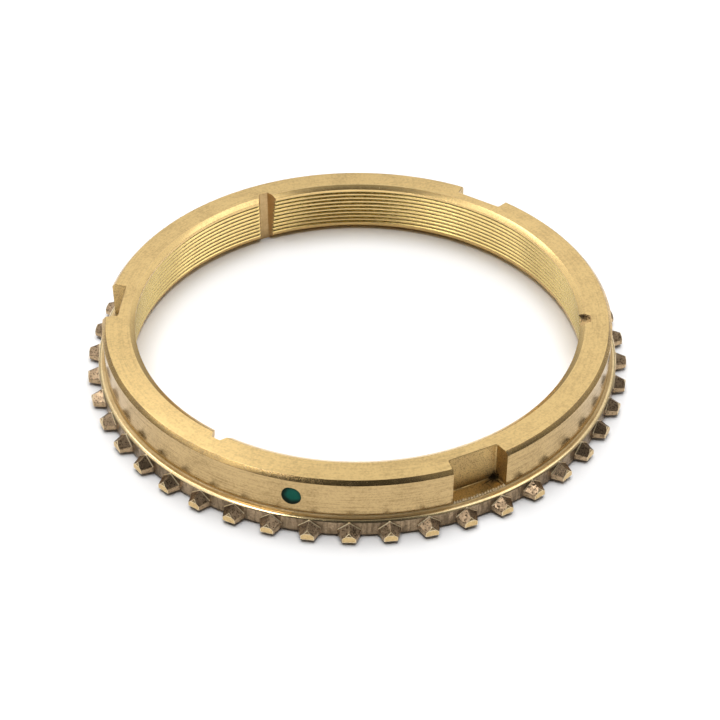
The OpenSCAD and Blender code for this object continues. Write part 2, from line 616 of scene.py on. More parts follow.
@dataclass(frozen=True)
class BrassFinish:
    """One finish of the ring's brass. Lengths are in millimetres."""

    name: str
    clean: Colour
    tarnish: Colour
    tarnish_share: float
    roughness: float
    lay: Lay = Lay.NONE
    mark_pitch: float = 0.25
    mark_depth: float = 0.0
    mark_tint: float = 0.0
    pit_size: float = 0.16
    pit_depth: float = 0.0
    pit_share: float = 0.0
    wear: float = 0.0
    # Darkening in corners and how far it looks: painted shade with some grime
    corner_grime_and_shade: float = 0.0
    corner_reach: float = 0.3
    anisotropy: float = 0.0
    # Middle and size of a dark patch: painted shade in the oil groove, a darker patch in the slot
    patch_at: tuple[float, float, float] | None = None
    patch_size: float = 1.0
    mottle: float = 0.3

    def dress(self) -> Material:
        """Build the finish's material.

        Returns:
            The material, which reads the ring's own coordinates.
        """
        material = bpy.data.materials.new(self.name)
        tree = ShaderTree(material)
        place = tree.place()
        marks = self.marks(tree, place)
        pits = self.pits(tree, place)
        fleck = tree.noise(place, FLECKS)
        grain = tree.noise(place, GRAIN)
        dull = self.dullness(tree, place, marks, fleck)
        dirt_and_shade = self.dirt_and_shade(tree, place, pits, fleck)
        tone = tree.blend(dull, self.clean, self.tarnish)
        # Grime in pits, painted shade with some grime in corners, and the dark patches
        tone = tree.blend(dirt_and_shade, tone, GRIME_AND_SHADE)
        if self.wear:
            tone = tree.blend(self.worn(tree, grain), tone, BRIGHT_BRASS)
        rough = tree.calc("MULTIPLY_ADD", fleck, FLECK_ROUGH, self.roughness - FLECK_ROUGH / 2)
        rough = tree.calc("MULTIPLY_ADD", dull, TARNISH_ROUGH, rough)
        rough = tree.clamped("MULTIPLY_ADD", dirt_and_shade, GRIME_AND_SHADE_ROUGH, rough)
        tree.end(
            {
                "Base Color": tone,
                "Metallic": 1.0,
                "Roughness": rough,
                "Normal": self.relief(tree, marks, pits, grain),
                "Anisotropic": self.anisotropy,
                "Anisotropic Rotation": LAY_TURN,
            }
        )
        return material

    def marks(self, tree: ShaderTree, place: Any) -> Socket:
        """Tool marks as a height between 0 and 1, long in the direction of the lay.

        Args:
            tree: the tree that is built.
            place: the ring's coordinates in millimetres.

        Returns:
            The height.
        """
        fine = CYCLES_PER_PITCH / self.mark_pitch
        if self.lay is Lay.NONE:
            return tree.noise(place, Noise(fine, PLAIN_DETAIL))
        if self.lay is Lay.ALONG_AXIS:
            return tree.noise(tree.vector("MULTIPLY", place, (fine, fine, AXIAL_CYCLES)), AXIAL_MARKS)
        flat = tree.vector("MULTIPLY", place, (1.0, 1.0, 0.0))
        if self.lay is Lay.AROUND_FACE:
            across = tree.measure("LENGTH", flat)
        else:
            across = tree.add("ShaderNodeSeparateXYZ", {0: place}).outputs[2]
        run = tree.vector("SCALE", tree.vector("NORMALIZE", flat), Scale=AROUND_CYCLES)
        lift = tree.output("ShaderNodeCombineXYZ", {2: tree.calc("MULTIPLY", across, fine)})
        return tree.noise(tree.vector("ADD", run, lift), AROUND_MARKS)

    def pits(self, tree: ShaderTree, place: Any) -> Socket:
        """Share of a pit at each point, from a pattern of cells broken up by noise.

        Args:
            tree: the tree that is built.
            place: the ring's coordinates in millimetres.

        Returns:
            The share.
        """
        links = {"Vector": place, "Scale": 1.0 / self.pit_size}
        cells = tree.add("ShaderNodeTexVoronoi", links).outputs["Distance"]
        uneven = tree.noise(place, Noise(PIT_NOISE.scale / self.pit_size, PIT_NOISE.detail))
        return tree.band(tree.calc("MULTIPLY_ADD", uneven, -PIT_BREAK, cells), PIT_RISE)

    def dullness(self, tree: ShaderTree, place: Any, marks: Any, fleck: Any) -> Socket:
        """Share of tarnish, in blotches, streaks and clouds.

        Args:
            tree: the tree that is built.
            place: the ring's coordinates in millimetres.
            marks: height of the tool marks.
            fleck: the pattern of flecks.

        Returns:
            The share.
        """
        spread = tree.calc("MULTIPLY_ADD", fleck, FLECK_IN_BLOTCH, tree.noise(place, BLOTCHES))
        dull = tree.clamped("MULTIPLY", tree.band(spread, TARNISH_RISE), self.tarnish_share * TARNISH_GAIN)
        streak = tree.clamped("MULTIPLY", tree.band(marks, STREAK_RISE), self.mark_tint)
        dull = tree.calc("SUBTRACT", tree.clamped("ADD", dull, streak), self.mottle / 2)
        cloud = tree.band(tree.noise(place, CLOUDS), CLOUD_RISE)
        return tree.clamped("MULTIPLY_ADD", cloud, self.mottle, dull)

    def dirt_and_shade(self, tree: ShaderTree, place: Any, pits: Any, fleck: Any) -> Socket:
        """Share of grime and painted shade: grime in pits, painted shade with some grime in corners, and a
        dark patch.

        Args:
            tree: the tree that is built.
            place: the ring's coordinates in millimetres.
            pits: share of a pit.
            fleck: the pattern of flecks.

        Returns:
            The share.
        """
        dirt_and_shade = tree.clamped("MULTIPLY", pits, self.pit_share)
        # Corners darkened by how much of the surroundings the piece closes: painted shade with some grime
        if self.corner_grime_and_shade:
            corner = tree.calc("MULTIPLY", tree.closed(self.corner_reach, inside=False), CORNER_GAIN)
            broken = tree.calc("MULTIPLY_ADD", fleck, FLECK_IN_CORNER, corner)
            held = tree.clamped("MULTIPLY", tree.band(broken, CORNER_RISE), self.corner_grime_and_shade)
            dirt_and_shade = tree.clamped("MAXIMUM", dirt_and_shade, held)
        if self.patch_at:
            dirt_and_shade = tree.clamped("MAXIMUM", dirt_and_shade, self.dark_patch(tree, place, fleck))
        return dirt_and_shade

    def dark_patch(self, tree: ShaderTree, place: Any, fleck: Any) -> Socket:
        """Share of a dark patch that runs out from its middle in uneven rays: painted shade in the oil
        groove, a darker patch in the slot.

        Args:
            tree: the tree that is built.
            place: the ring's coordinates in millimetres.
            fleck: the pattern of flecks.

        Returns:
            The share.
        """
        away = tree.vector("SUBTRACT", place, self.patch_at)
        rays = tree.noise(tree.vector("NORMALIZE", away), PATCH_RAYS)
        stretch = tree.calc("MULTIPLY_ADD", rays, -RAY_SPREAD, RAY_MOST)
        drawn = tree.calc("MULTIPLY", tree.measure("LENGTH", away), stretch)
        ragged = tree.calc("MULTIPLY_ADD", fleck, FLECK_IN_PATCH * self.patch_size, drawn)
        return tree.band(ragged, PATCH_RISE.times(self.patch_size))

    def worn(self, tree: ShaderTree, grain: Any) -> Socket:
        """Share of bare metal, rubbed along the edges.

        Args:
            tree: the tree that is built.
            grain: fine noise.

        Returns:
            The share.
        """
        bare = tree.calc("MULTIPLY", tree.closed(WEAR_REACH, inside=True), EDGE_GAIN)
        rubbed = tree.calc("MULTIPLY_ADD", grain, GRAIN_IN_WEAR, bare)
        return tree.clamped("MULTIPLY", tree.band(rubbed, WEAR_RISE), self.wear)

    def relief(self, tree: ShaderTree, marks: Any, pits: Any, grain: Any) -> Socket:
        """Normal bent by the tool marks, the pits and a fine grain.

        Args:
            tree: the tree that is built.
            marks: height of the tool marks.
            pits: share of a pit.
            grain: fine noise.

        Returns:
            The bent normal.
        """
        height = tree.calc("MULTIPLY", marks, self.mark_depth)
        height = tree.calc("MULTIPLY_ADD", grain, GRAIN_DEPTH, height)
        height = tree.calc("MULTIPLY_ADD", pits, -self.pit_depth, height)
        return tree.bump(height, 1.0)


@dataclass(frozen=True)
class PaintFinish:
    """Thin marking paint over metal. Lengths are in millimetres."""

    name: str
    # Paint colours in painted shade and in a painted highlight, and how the highlight fades and wanders
    shaded_tone: Colour
    lit_tone: Colour
    roughness: float
    middle: tuple[float, float, float]
    reach: float
    lit_rise: Rise = Rise(1.15, 0.6)
    lit_wander: Noise = Noise(0.9, 3.0)
    lit_wander_share: float = 0.5
    specks: Noise = Noise(6.0, 3.0)
    speck_rough: float = 0.2
    speck_depth: float = 0.01
    shine: float = 0.12

    def dress(self) -> Material:
        """Build the paint's material: a painted highlight round a point above and to one side of its
        middle, fading to painted shade towards its edge.

        Returns:
            The material.
        """
        material = bpy.data.materials.new(self.name)
        tree = ShaderTree(material)
        place = tree.place()
        speck = tree.noise(place, self.specks)
        apart = tree.measure("DISTANCE", place, self.middle)
        uneven = tree.calc("MULTIPLY_ADD", tree.noise(place, self.lit_wander), self.lit_wander_share, apart)
        inner = tree.band(uneven, self.lit_rise.times(self.reach))
        tree.end(
            {
                "Base Color": tree.blend(inner, self.shaded_tone, self.lit_tone),
                "Roughness": tree.clamped("MULTIPLY_ADD", speck, self.speck_rough, self.roughness),
                "Normal": tree.bump(speck, self.speck_depth),
                "Specular IOR Level": self.shine,
            }
        )
        return material


@dataclass(frozen=True)
class RingSizes:
    """The ring's sizes in millimetres and degrees, as in its solid."""

    cone_d: float = 72.7
    cone_angle: float = 6.5
    mouth_chamfer: float = 0.9
    lead_w: float = 0.85
    lead_h: float = 0.5
    ring_h: float = 9.5
    wall_t: float = 4.15
    wall_chamfer: float = 0.6
    flange_w: float = 1.1
    flange_h: float = 3.0
    flange_chamfer: float = 0.3
    slot_count: int = 3
    slot_first: float = 60.0
    groove_first: float = 0.0
    tooth_count: int = 45
    tooth_reach: float = 1.8

    @property
    def wall_r(self) -> float:
        """Radius of the outer wall."""
        return self.cone_d / 2 + self.wall_t

    @property
    def flange_r(self) -> float:
        """Radius of the flange between the teeth."""
        return self.wall_r + self.flange_w

    @property
    def tip_r(self) -> float:
        """Radius over the tooth tips."""
        return self.flange_r + self.tooth_reach

    @property
    def lead_z(self) -> float:
        """Height of the lower edge of the bevel at the cone's narrow end."""
        return self.ring_h - self.lead_h

    def cone_r(self, z: float) -> float:
        """Radius of the cone at a height."""
        return self.cone_d / 2 - z * math.tan(math.radians(self.cone_angle))


@dataclass
class RingBlank:
    """The turned ring before its teeth, slots, grooves and thread."""

    sizes: RingSizes
    edge_r: float = 0.06
    fillet_r: float = 0.2
    rim_r: float = 0.6
    foot_chamfer: float = 0.45
    arc_steps: int = 4
    segments: int = 480

    def section(self) -> list[tuple[Point, Zone]]:
        """Half section of the ring, with each point's finish for the face that follows it.

        Returns:
            The points, as radius and height, and their finishes.
        """
        s = self.sizes
        mouth_r = s.cone_r(s.mouth_chamfer) + s.mouth_chamfer
        corners: list[tuple[Point, float, Zone, Zone]] = [
            ((mouth_r, 0.0), self.edge_r, Zone.UNDERSIDE, Zone.UNDERSIDE),
            # The foot's chamfer takes the darker flange finish, not the underside's, to deepen the shade
            # where the ring meets the floor: painted shade
            ((s.flange_r - self.foot_chamfer, 0.0), self.edge_r, Zone.FLANGE, Zone.FLANGE),
            ((s.flange_r, self.foot_chamfer), self.edge_r, Zone.FLANGE, Zone.FLANGE),
            ((s.flange_r, s.flange_h - s.flange_chamfer), self.edge_r, Zone.FLANGE, Zone.RIM),
            ((s.flange_r - s.flange_chamfer, s.flange_h), self.rim_r, Zone.RIM, Zone.LEDGE),
            ((s.wall_r, s.flange_h), self.fillet_r, Zone.LEDGE, Zone.WALL),
            ((s.wall_r, s.ring_h - s.wall_chamfer), self.edge_r, Zone.EDGE, Zone.EDGE),
            ((s.wall_r - s.wall_chamfer, s.ring_h), self.edge_r, Zone.EDGE, Zone.TOP),
            ((s.cone_r(s.lead_z) + s.lead_w, s.ring_h), self.edge_r, Zone.BORE, Zone.BORE),
            ((s.cone_r(s.lead_z), s.lead_z), self.edge_r, Zone.BORE, Zone.BORE),
            ((s.cone_r(s.mouth_chamfer), s.mouth_chamfer), self.edge_r, Zone.BORE, Zone.BORE),
        ]
        arcs = rounded([c[0] for c in corners], [c[1] for c in corners], self.arc_steps)
        section: list[tuple[Point, Zone]] = []
        for arc, (_, _, bend, straight) in zip(arcs, corners):
            section += [(point, bend) for point in arc[:-1]] + [(arc[-1], straight)]
        return section

    def build(self) -> Mesh:
        """Turn the section about the axis.

        Returns:
            The blank's mesh.
        """
        section = self.section()
        shape = bmesh.new()
        rows = []
        for step in range(self.segments):
            degrees = 360.0 * step / self.segments
            rows.append([shape.verts.new(polar(r, degrees, z) * MM) for (r, z), _ in section])
        count = len(section)
        for row, following in zip(rows, rows[1:] + rows[:1]):
            for i in range(count):
                j = (i + 1) % count
                face = shape.faces.new((row[i], following[i], following[j], row[j]))
                face.material_index = section[i][1].value
        return close_mesh(shape, "blank")


@dataclass
class BoreThread:
    """Fine helical thread of the cone, as the tool's sweep. Lengths are in millimetres."""

    sizes: RingSizes
    pitch: float = 0.81
    depth: float = 0.33
    mouth_w: float = 0.6
    root_w: float = 0.06
    lip: float = 0.03
    clear: float = 0.12
    low_z: float = 1.36
    turns: float = 9.0
    start: float = -90.0
    fade_share: float = 0.03
    end_share: float = 0.05
    steps_per_turn: int = 240

    def tool(self) -> Object:
        """Outline of the tool's point: a vee with a blunt root and flared shoulders.

        Returns:
            A helper object, with the ring's axis towards +X.
        """
        shoulder = self.mouth_w / 2 - self.lip
        half: list[Point] = [
            (self.clear, self.mouth_w / 2 + self.clear / 2),
            (0.0, self.mouth_w / 2),
            (-self.lip, shoulder),
            (-self.depth, self.root_w / 2),
        ]
        outline = half + [(x, -y) for x, y in half[::-1]]
        mesh = bpy.data.meshes.new("thread_tool")
        edges = [(i, (i + 1) % len(outline)) for i in range(len(outline))]
        mesh.from_pydata([(x * MM, y * MM, 0.0) for x, y in outline], edges, [])
        return link_object("thread_tool", mesh)

    def build(self, materials: Finishes) -> Mesh:
        """Sweep the tool along a conical helix.

        Args:
            materials: the finishes of the ring.

        Returns:
            The swept cut, as a closed mesh.
        """
        s = self.sizes
        rise = self.turns * self.pitch
        tool = self.tool()
        tree = GeometryTree("bore_thread")
        edge = tree.shape_of("Tool", tool)
        spiral = {
            "Resolution": self.steps_per_turn,
            "Rotations": tree.size("Turns", "Float", self.turns),
            "Start Radius": tree.size("Low radius", "Float", s.cone_r(self.low_z) * MM),
            "End Radius": tree.size("High radius", "Float", s.cone_r(self.low_z + rise) * MM),
            "Height": tree.size("Rise", "Float", rise * MM),
        }
        path = tree.output("GeometryNodeCurveSpiral", spiral)
        fade = tree.size("Fade", "Float", self.fade_share)
        along = tree.add("GeometryNodeSplineParameter", {}).outputs["Factor"]
        nearest = tree.calc("MINIMUM", along, tree.calc("SUBTRACT", 1.0, along))
        grown = tree.calc("MINIMUM", tree.calc("DIVIDE", nearest, fade), 1.0)
        sweep = {
            "Curve": tree.output("GeometryNodeSetCurveNormal", {"Curve": path}, mode="Z_UP"),
            "Profile Curve": tree.output("GeometryNodeMeshToCurve", {"Mesh": edge}),
            "Scale": tree.calc("MAXIMUM", grown, self.end_share),
            "Fill Caps": True,
        }
        placing = {
            "Geometry": tree.output("GeometryNodeCurveToMesh", sweep),
            "Translation": (0.0, 0.0, self.low_z * MM),
            "Rotation": (0.0, 0.0, math.radians(self.start)),
        }
        mesh = tree.bake(tree.output("GeometryNodeTransform", placing), materials, (Zone.THREAD,))
        drop_object(tool)
        return mesh


@dataclass
class ToothRow:
    """The pointed blocking teeth, forged and then turned at their tips. Lengths in millimetres."""

    sizes: RingSizes
    root_w: float = 3.4
    tip_w: float = 2.0
    point_angle: float = 37.0
    ridge_angle: float = 23.0
    ridge_drop: float = 0.2
    heel_run: float = 0.35
    heel_rise: float = 0.6
    crest_run: float = 0.25
    crest_rise: float = 0.5
    base_z: float = 0.5
    edge_r: float = 0.06
    edge_steps: int = 2
    root_run: float = 0.12
    root_rise: float = 0.1
    embed: float = 0.4
    below_ledge: float = 0.02
    stock: float = 20.0
    sharp_behind: float = -1.0
    upper_z: float = 1.2
    first: float = 0.2
    width_spread: float = 0.04
    tilt_spread: float = 1.4
    turn_spread: float = 0.25
    seed: int = 11

    def planes(self) -> list[tuple[Vector, Vector, Zone]]:
        """Faces of one sharp tooth whose root is at X = 0, as points and outward normals.

        Returns:
            The point, normal and finish of each face.
        """
        reach = self.sizes.tooth_reach
        ridge = math.tan(math.radians(self.ridge_angle))
        slope = math.tan(math.radians(self.point_angle))
        draft = (self.root_w - self.tip_w) / 2 / reach
        top = self.sizes.flange_h - self.ridge_drop
        crest_x = reach - self.crest_run
        crest = Vector((crest_x, 0.0, top - ridge * crest_x))
        heel = Vector((reach - self.heel_run, 0.0, 0.0))
        faces = [
            (Vector((reach, 0.0, 0.0)), Vector((1.0, 0.0, 0.0)), Zone.TIP),
            (crest, Vector((self.crest_rise, 0.0, self.crest_run)), Zone.CREST),
            (heel, Vector((self.heel_rise, 0.0, -self.heel_run)), Zone.TOOTH),
            (Vector((0.0, 0.0, self.base_z)), Vector((0.0, 0.0, -1.0)), Zone.TOOTH),
        ]
        for side in (-1.0, 1.0):
            flank = Vector((0.0, side * self.root_w / 2, 0.0))
            faces.append((flank, Vector((draft, side, 0.0)), Zone.FLANK))
            roof = Vector((0.0, 0.0, top))
            faces.append((roof, Vector((ridge, side * slope, 1.0)), Zone.TOOTH))
        return faces

    def tooth(self) -> Object:
        """One tooth with rounded edges and a fillet at its root, as a helper object.

        Returns:
            The tooth, with its root's middle at the origin and its tip along +X.
        """
        shape = bmesh.new()
        bmesh.ops.create_cube(shape, size=self.stock)
        for point, normal, zone in self.planes():
            rim = slice_off(shape, point, normal.normalized())
            for face in bmesh.ops.contextual_create(shape, geom=rim)["faces"]:
                face.material_index = zone.value
        front = [e for e in shape.edges if max(v.co.x for v in e.verts) > self.sharp_behind]
        made = bmesh.ops.bevel(
            shape, geom=front, offset=self.edge_r, segments=self.edge_steps, profile=0.5,
            affect="EDGES", clamp_overlap=True, material=-1,
        )
        tip = self.sizes.tooth_reach - self.crest_run - 2 * self.edge_r
        for face in made["faces"]:
            middle = face.calc_center_median()
            # Rounded edges round the tip take the bright finish: painted glint with some wear
            if all(vert.co.x > tip for vert in face.verts):
                face.material_index = Zone.WORN.value
            # The ridge's rounded edge takes the darker ridge finish: painted shade
            elif abs(middle.y) < 2 * self.edge_r and middle.z > self.upper_z:
                face.material_index = Zone.RIDGE.value
            elif middle.z > self.upper_z / 2:
                face.material_index = Zone.TOOTH.value
        self.fillet_root(shape)
        for vert in shape.verts:
            vert.co *= MM
        return link_object("tooth", close_mesh(shape, "tooth"))

    def fillet_root(self, shape: bmesh.types.BMesh) -> None:
        """Replace the tooth's inner end by a small bevel that meets the flange, then close it.

        Args:
            shape: the tooth, which is changed.
        """
        rim = slice_off(shape, (self.root_run, 0.0, 0.0), (-1.0, 0.0, 0.0))
        start = {vert: vert.co.copy() for edge in rim for vert in edge.verts}
        middle = sum((point.z for point in start.values()), 0.0) / len(start)
        outward = {}
        for vert in start:
            sides = [e.other_vert(vert).co - vert.co for e in vert.link_edges if e in rim]
            along = (sides[0].normalized() - sides[1].normalized()).normalized()
            normal = Vector((0.0, along.z, -along.y))
            away = Vector((0.0, vert.co.y, vert.co.z - middle))
            outward[vert] = normal if normal.dot(away) > 0 else -normal
        ceiling = self.sizes.flange_h - self.below_ledge
        ring = {vert: vert for vert in start}
        for x in (0.0, -self.embed):
            following = {}
            for vert, origin in start.items():
                point = origin + outward[vert] * self.root_rise
                point.x = x
                point.z = min(max(point.z, self.base_z), ceiling)
                following[vert] = shape.verts.new(point)
            for edge in rim:
                a, b = edge.verts
                face = shape.faces.new((ring[a], ring[b], following[b], following[a]))
                # The upper part of the root's bevel takes the bright finish: painted glint along the root
                raised = min(start[a].z, start[b].z) > self.upper_z
                face.material_index = (Zone.WORN if raised else Zone.TOOTH).value
            ring = following
        ends = set(ring.values())
        closing = [e for e in shape.edges if e.is_boundary and ends.issuperset(e.verts)]
        bmesh.ops.contextual_create(shape, geom=closing)

    def build(self, materials: Finishes) -> Mesh:
        """Place the teeth round the flange, each a little different.

        Args:
            materials: the finishes of the ring.

        Returns:
            All the teeth as one mesh.
        """
        tooth = self.tooth()
        tree = GeometryTree("blocking_teeth")
        shape = tree.shape_of("Tooth", tooth)
        count = tree.size("Count", "Int", self.sizes.tooth_count)
        radius = tree.size("Flange radius", "Float", self.sizes.flange_r * MM)
        first = tree.size("First", "Float", math.radians(self.first))
        width = tree.size("Width spread", "Float", self.width_spread)
        tilt = tree.size("Tilt spread", "Float", math.radians(self.tilt_spread))
        turn = tree.size("Turn spread", "Float", math.radians(self.turn_spread))
        seed = tree.size("Seed", "Int", self.seed)
        floor = tree.size("Lowest", "Float", self.base_z * MM)
        reach = tree.size("Tip radius", "Float", self.sizes.tip_r * MM)
        lean = tree.calc("MULTIPLY", tilt, -1.0)
        sway = (
            tree.random(lean, tilt, tree.calc("ADD", seed, 1)),
            tree.random(lean, tilt, tree.calc("ADD", seed, 2)),
            tree.random(tree.calc("MULTIPLY", turn, -1.0), turn, seed),
        )
        narrow = tree.random(tree.calc("SUBTRACT", 1.0, width), 1.0, tree.calc("ADD", seed, 3))
        copies = tree.around_axis(shape, count, first, radius, sway, (1.0, narrow, 1.0))
        solid = tree.output("GeometryNodeRealizeInstances", {"Geometry": copies})
        mesh = tree.bake(self.trim(tree, solid, floor, reach), materials, FORGED)
        drop_object(tooth)
        return mesh

    @staticmethod
    def trim(tree: GeometryTree, solid: Any, floor: Any, reach: Any) -> Socket:
        """Hold every point above the floor and inside the turned tip circle.

        Args:
            tree: the tree that is built.
            solid: the realized teeth.
            floor: lowest height, in metres.
            reach: radius over the tips, in metres.

        Returns:
            The trimmed teeth.
        """
        x, y, z = tree.position()
        span = tree.measure("LENGTH", tree.vector(x, y, 0.0))
        share = tree.calc("MINIMUM", tree.calc("DIVIDE", reach, span), 1.0)
        inside = [tree.calc("MULTIPLY", part, share) for part in (x, y)]
        links = {"Geometry": solid, "Position": tree.vector(*inside, tree.calc("MAXIMUM", z, floor))}
        return tree.output("GeometryNodeSetPosition", links)


@dataclass
class StrutSlots:
    """The milled strut slots and the burrs along their floors. Lengths in millimetres."""

    sizes: RingSizes
    mouth_w: float = 9.0
    back_w: float = 8.0
    depth: float = 2.65
    floor_rise: float = 0.2
    corner_r: float = 0.3
    corner_steps: int = 6
    floor_fillet: float = 0.2
    fillet_steps: int = 4
    edge_break: float = 0.08
    overrun: float = 0.6
    burr_count: int = 19
    burr_r: float = 0.3
    burr_h: float = 0.36
    burr_out: float = -0.15
    burr_span: float = 8.2
    burr_sink: float = 0.03
    burr_sides: int = 4
    burr_widths: tuple[float, float] = (0.75, 1.0)
    burr_heights: tuple[float, float] = (0.85, 1.2)
    burr_turn: float = 0.2
    row_steps: int = 64
    seed: int = 5

    @property
    def floor_z(self) -> float:
        """Height of a slot's floor."""
        return self.sizes.flange_h + self.floor_rise

    @property
    def back_r(self) -> float:
        """Distance from the axis to a slot's back."""
        return self.sizes.wall_r - self.depth

    def plan(self) -> list[Point]:
        """Outline of a cut seen from above, with its mouth along +X.

        Returns:
            The outline's points in order.
        """
        lean = (self.mouth_w - self.back_w) / 2 / self.depth
        lip_x = self.sizes.wall_r - self.edge_break
        lip_y = self.mouth_w / 2 - self.edge_break * lean
        out_x = self.sizes.wall_r + self.overrun
        out_y = lip_y + self.overrun + self.edge_break
        half = self.back_w / 2
        corners: list[Point] = [
            (out_x, -out_y), (out_x, out_y), (lip_x, lip_y),
            (self.back_r, half), (self.back_r, -half), (lip_x, -lip_y),
        ]
        radii = [0.0, 0.0, 0.0, self.corner_r, self.corner_r, 0.0]
        return [p for arc in rounded(corners, radii, self.corner_steps) for p in arc]

    def cut(self) -> Mesh:
        """One slot's cut: a filleted floor, upright sides and a broken top edge.

        Returns:
            The cut's mesh.
        """
        outline = self.plan()
        levels: list[Point] = []
        for step in range(self.fillet_steps + 1):
            angle = math.pi / 2 * step / self.fillet_steps
            lift = self.floor_fillet * (1 - math.cos(angle))
            levels.append((self.floor_z + lift, -self.floor_fillet * (1 - math.sin(angle))))
        levels.append((self.sizes.ring_h - self.edge_break, 0.0))
        levels.append((self.sizes.ring_h + self.overrun, self.overrun + self.edge_break))
        rings = [[Vector((x, y, z)) for x, y in offset(outline, out)] for z, out in levels]
        return loft(rings, Zone.SLOT)

    def build(self, materials: Finishes) -> Mesh:
        """Repeat the cut round the ring.

        Args:
            materials: the finishes of the ring.

        Returns:
            All the cuts as one mesh.
        """
        s = self.sizes
        return repeat_cut("strut_slots", self.cut(), s.slot_count, s.slot_first, Zone.SLOT, materials)

    def burrs(self, materials: Finishes) -> Mesh:
        """Row of small burrs that the cutter left along the front edge of each slot's floor.

        Args:
            materials: the finishes of the ring.

        Returns:
            The burrs as one mesh.
        """
        s = self.sizes
        arc = 2 * math.asin(self.burr_span / 2 / s.wall_r)
        tree = GeometryTree("slot_burrs")
        count = tree.size("Burrs", "Int", self.burr_count)
        size = tree.size("Burr radius", "Float", self.burr_r * MM)
        slots = tree.size("Slots", "Int", s.slot_count)
        first = tree.size("First", "Float", math.radians(s.slot_first))
        seed = tree.size("Seed", "Int", self.seed)
        front = {
            "Resolution": self.row_steps,
            "Radius": (s.wall_r + self.burr_out) * MM,
            "Start Angle": -arc / 2,
            "Sweep Angle": arc,
        }
        edge = tree.output("GeometryNodeCurveArc", front)
        spike = {
            "Vertices": self.burr_sides,
            "Radius Top": 0.0,
            "Radius Bottom": size,
            "Depth": (self.burr_h + self.burr_sink) * MM,
        }
        x, y, _ = tree.position()
        square = tree.calc("ADD", tree.calc("ARCTAN2", y, x), math.pi / self.burr_sides)
        grow = tree.random(*self.burr_widths, seed)
        tall = tree.random(*self.burr_heights, tree.calc("ADD", seed, 1))
        turn = tree.random(-self.burr_turn, self.burr_turn, tree.calc("ADD", seed, 2))
        links = {
            "Points": tree.output("GeometryNodeCurveToPoints", {"Curve": edge, "Count": count}),
            "Instance": tree.output("GeometryNodeMeshCone", spike),
            "Rotation": tree.vector(0.0, 0.0, tree.calc("ADD", square, turn)),
            "Scale": tree.vector(grow, grow, tall),
        }
        spikes = tree.output("GeometryNodeInstanceOnPoints", links)
        row = tree.output("GeometryNodeRealizeInstances", {"Geometry": spikes})
        lift = (0.0, 0.0, (self.floor_z - self.burr_sink) * MM)
        lifted = tree.output("GeometryNodeTransform", {"Geometry": row, "Translation": lift})
        # Burrs take the bright finish: painted glint
        return tree.bake(tree.around_axis(lifted, slots, first), materials, (Zone.WORN,))


@dataclass
class OilGrooves:
    """The broached oil grooves of the cone. Lengths in millimetres."""

    sizes: RingSizes
    depth: float = 0.8
    floor_w: float = 1.5
    flare: float = 25.0
    corner_r: float = 0.15
    corner_steps: int = 3
    overrun: float = 0.5
    inner_run: float = 1.0

    def build(self, materials: Finishes) -> Mesh:
        """Repeat the broach's cut round the cone.

        Args:
            materials: the finishes of the ring.

        Returns:
            All the cuts as one mesh.
        """
        s = self.sizes
        floor_x = s.cone_d / 2 + self.depth
        inner_x = s.cone_r(s.ring_h) - self.inner_run
        half = self.floor_w / 2
        wide = half + (floor_x - inner_x) * math.tan(math.radians(self.flare))
        corners: list[Point] = [(inner_x, -wide), (floor_x, -half), (floor_x, half), (inner_x, wide)]
        arcs = rounded(corners, [0.0, self.corner_r, self.corner_r, 0.0], self.corner_steps)
        outline = [p for arc in arcs for p in arc]
        levels = (-self.overrun, s.ring_h + self.overrun)
        rings = [[Vector((x, y, z)) for x, y in outline] for z in levels]
        cut = loft(rings, Zone.GROOVE)
        return repeat_cut("oil_grooves", cut, s.slot_count, s.groove_first, Zone.GROOVE, materials)


